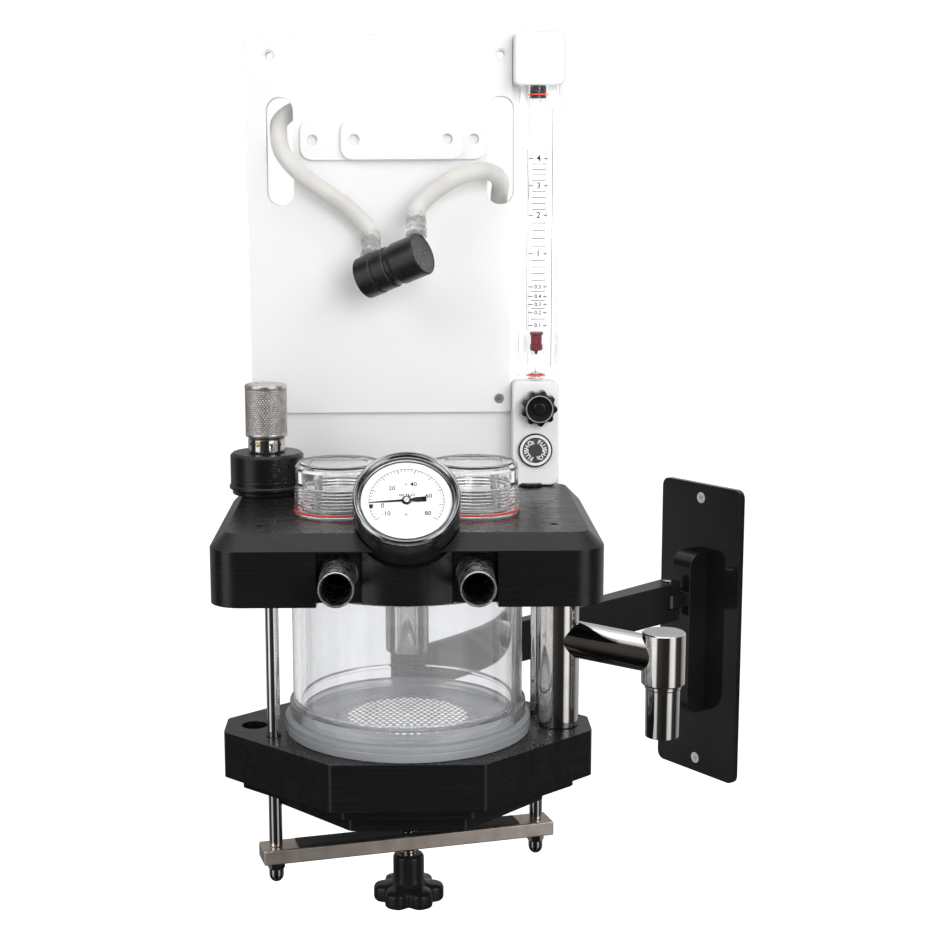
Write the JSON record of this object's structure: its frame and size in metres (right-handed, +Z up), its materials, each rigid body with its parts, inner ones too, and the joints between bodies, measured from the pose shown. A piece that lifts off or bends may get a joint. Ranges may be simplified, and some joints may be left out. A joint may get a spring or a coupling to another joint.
{
  "type": "wall-mounted inhalation anaesthesia machine",
  "caption": "Wall-mounted small-animal inhalation anaesthesia machine: absorber canister, check valves, pressure gauge, pop-off valve and flowmeter panel on a hinged swing arm.",
  "frame": {"origin": "centre of the wall plate's back face, where it meets the wall", "axes": "+Z up, -Y towards the front of the machine, +X to the right as seen from the front"},
  "size_m": [0.4038, 0.4872, 0.6075],
  "materials": {
    "gloss_black_paint": "gloss",
    "black_anodised": "satin",
    "black_machined_plastic": "satin",
    "black_moulded_plastic": "gloss",
    "white_plastic": "satin",
    "chrome_plate": "mirror",
    "steel": "satin",
    "clear_acrylic": "clear",
    "red_plastic": "gloss",
    "milky_silicone": "satin",
    "dial_white": "matt",
    "grey_plastic": "satin",
    "brass": "satin"
  },
  "bodies": {
    "wall_mount": {"wall_plate": "gloss_black_paint", "wall_screw_top": "steel", "wall_screw_bottom": "steel", "wall_bracket": "gloss_black_paint"},
    "arm": {"swing_arm": "black_anodised", "wall_pivot_pin": "steel", "machine_pivot_shaft": "chrome_plate"},
    "machine": {"pivot_sleeve": "chrome_plate", "head_block": "black_machined_plastic", "rod_front_left": "chrome_plate", "rod_back_right": "chrome_plate", "acorn_nut_left": "chrome_plate", "acorn_nut_right": "chrome_plate", "crossbar": "steel", "bag_column": "chrome_plate", "bag_arm": "chrome_plate", "bag_port": "chrome_plate", "breathing_port_left": "chrome_plate", "breathing_port_right": "chrome_plate", "dome_left": "clear_acrylic", "dome_right": "clear_acrylic", "valve_seat_left": "grey_plastic", "valve_seat_right": "grey_plastic", "gauge_case": "black_moulded_plastic", "gauge_bezel": "steel", "gauge_lens": "clear_acrylic", "gauge_dial": "dial_white", "apl_body": "black_machined_plastic", "apl_collar": "chrome_plate", "back_panel": "white_plastic", "upper_panel": "white_plastic", "vaporizer_bar": "white_plastic", "vaporizer_rail": "white_plastic", "flowmeter_top_block": "white_plastic", "flowmeter_body": "clear_acrylic", "valve_block": "white_plastic", "flush_bezel": "black_moulded_plastic", "gas_outlet_elbow": "brass", "fresh_gas_elbow": "brass", "hose_left": "milky_silicone", "hose_right": "milky_silicone", "connector_socket": "black_anodised", "connector_plug": "black_anodised"},
    "absorber": {"canister": "clear_acrylic", "granule_screen": "steel", "lower_plate": "black_machined_plastic", "pressure_plate_upper": "black_machined_plastic", "pressure_plate_lower": "black_machined_plastic"},
    "clamp_foot": {"clamp_pad": "steel"},
    "clamp_handle": {"clamp_screw": "steel", "clamp_knob": "black_moulded_plastic"},
    "left_disc": {"valve_disc_left": "black_moulded_plastic"},
    "right_disc": {"valve_disc_right": "black_moulded_plastic"},
    "pointer": {"gauge_pointer": "black_moulded_plastic"},
    "pop_off_plunger": {"apl_stem": "steel"},
    "pop_off_handle": {"apl_knob": "steel"},
    "float": {"flowmeter_float": "red_plastic"},
    "needle": {"needle_stem": "brass"},
    "flow_handle": {"flow_knob": "black_moulded_plastic"},
    "flush": {"flush_button": "black_moulded_plastic"}
  },
  "joints": [
    {"name": "arm_swing", "type": "hinge", "parent": "wall_mount", "child": "arm", "pos_m": [-0.03358, -0.02352, 0.031], "axis": [0, 0, 1], "range_deg": [-88, 71]},
    {"name": "machine_swivel", "type": "hinge", "parent": "arm", "child": "machine", "pos_m": [-0.25372, -0.23462, 0.031], "axis": [0, 0, 1], "range_deg": [-130, 40]},
    {"name": "absorber_drop", "type": "slide", "parent": "machine", "child": "absorber", "axis": [0, 0, 1], "range_m": [-0.008, 0]},
    {"name": "clamp_feed", "type": "slide", "parent": "machine", "child": "clamp_foot", "axis": [0, 0, 1], "range_m": [-0.00801, 0]},
    {"name": "clamp_turn", "type": "hinge", "parent": "clamp_foot", "child": "clamp_handle", "pos_m": [-0.25372, -0.33462, -0.06], "axis": [0, 0, 1], "range_deg": [-1441, 0]},
    {"name": "left_disc_lift", "type": "slide", "parent": "machine", "child": "left_disc", "axis": [0, 0, 1], "range_m": [0, 0.004]},
    {"name": "right_disc_lift", "type": "slide", "parent": "machine", "child": "right_disc", "axis": [0, 0, 1], "range_m": [0, 0.004]},
    {"name": "pointer_swing", "type": "hinge", "parent": "machine", "child": "pointer", "pos_m": [-0.25372, -0.41152, 0.1912], "axis": [0, 0.7396, -0.673], "range_deg": [-30, 240], "stiffness_Nm_per_rad": 0.002},
    {"name": "pop_off_feed", "type": "slide", "parent": "machine", "child": "pop_off_plunger", "axis": [0, 0, 1], "range_m": [0, 0.00225]},
    {"name": "pop_off_turn", "type": "hinge", "parent": "pop_off_plunger", "child": "pop_off_handle", "pos_m": [-0.35072, -0.25962, 0.22], "axis": [0, 0, 1], "range_deg": [0, 271]},
    {"name": "float_rise", "type": "slide", "parent": "machine", "child": "float", "axis": [0, 0, 1], "range_m": [0, 0.115]},
    {"name": "needle_feed", "type": "slide", "parent": "machine", "child": "needle", "axis": [0, -1, 0], "range_m": [0, 0.0012]},
    {"name": "flow_turn", "type": "hinge", "parent": "needle", "child": "flow_handle", "pos_m": [-0.16072, -0.24112, 0.2238], "axis": [0, -1, 0], "range_deg": [0, 541]},
    {"name": "flush_press", "type": "slide", "parent": "machine", "child": "flush", "axis": [0, 1, 0], "range_m": [0, 0.004], "stiffness_N_per_m": 900, "springref_m": -0.001}
  ],
  "couplings": [
    {"joint": "clamp_feed", "follows": "absorber_drop", "ratio": 1},
    {"joint": "clamp_turn", "follows": "absorber_drop", "rad_per_m": 3141.6},
    {"joint": "pop_off_turn", "follows": "pop_off_feed", "rad_per_m": 2094.4},
    {"joint": "flow_turn", "follows": "needle_feed", "rad_per_m": 7854}
  ]
}
